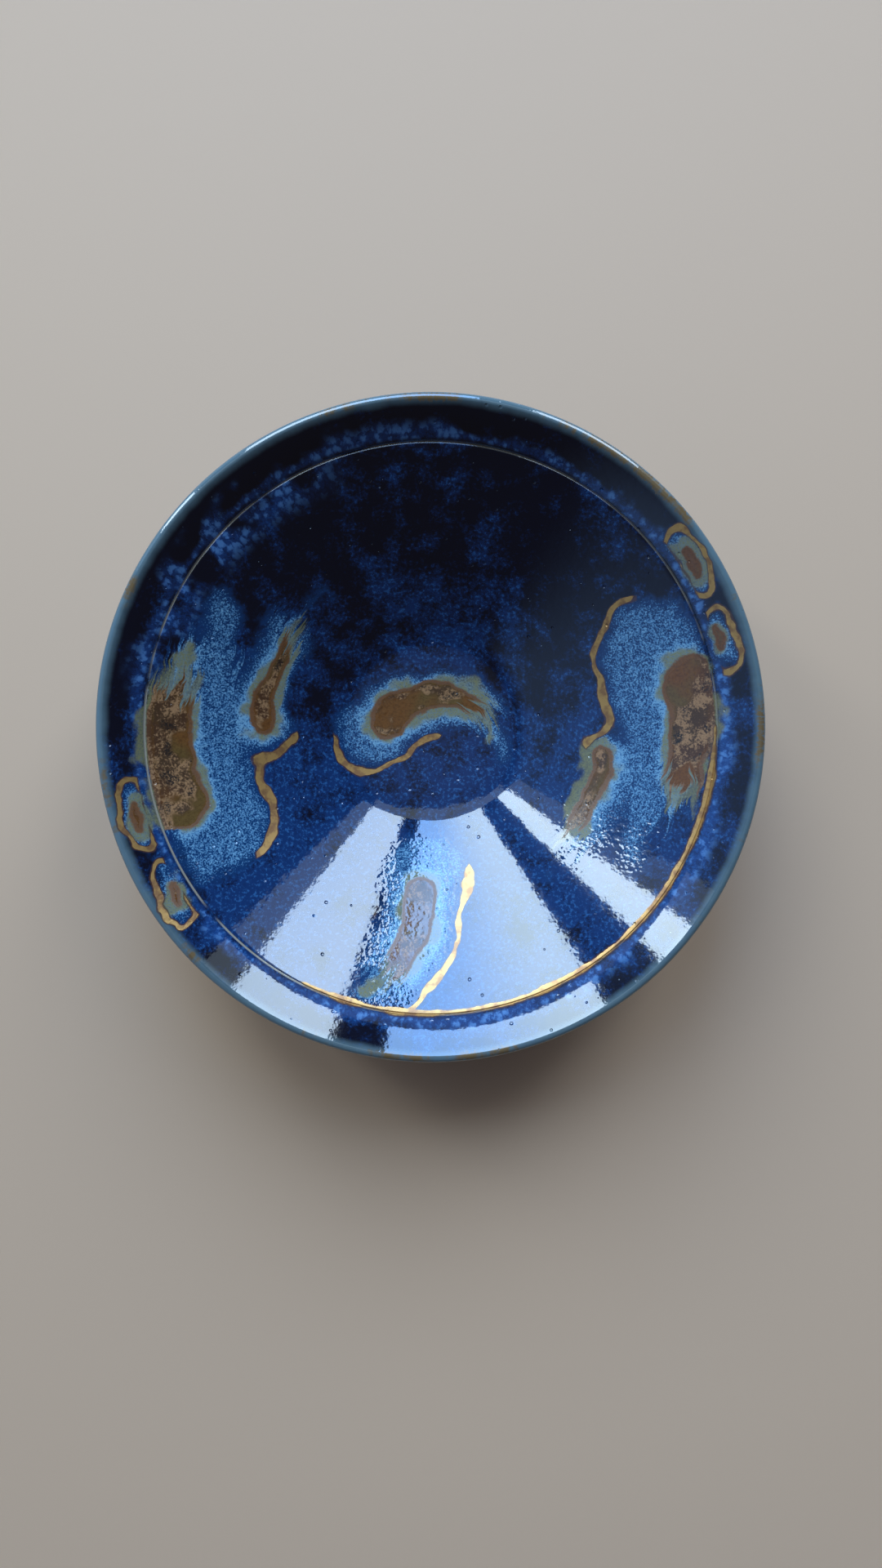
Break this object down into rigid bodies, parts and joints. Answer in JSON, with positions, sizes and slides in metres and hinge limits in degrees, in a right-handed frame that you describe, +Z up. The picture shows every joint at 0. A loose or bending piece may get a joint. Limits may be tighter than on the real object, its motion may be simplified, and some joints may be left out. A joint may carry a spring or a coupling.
{
  "type": "footed ceramic bowl",
  "caption": "Wide conical glazed stoneware bowl with a dished floor, an incised line below a flaring rim band and a short turned foot ring; holds fruit or stands as an ornament.",
  "frame": {"origin": "on the ground at the middle of the foot ring", "axes": "+Z up along the bowl's axis of turning; +X and +Y are free, as the bowl is round"},
  "size_m": [0.27, 0.27, 0.078],
  "materials": {
    "glaze": "gloss"
  },
  "bodies": {
    "root": {"bowl": "glaze"}
  },
  "joints": []
}
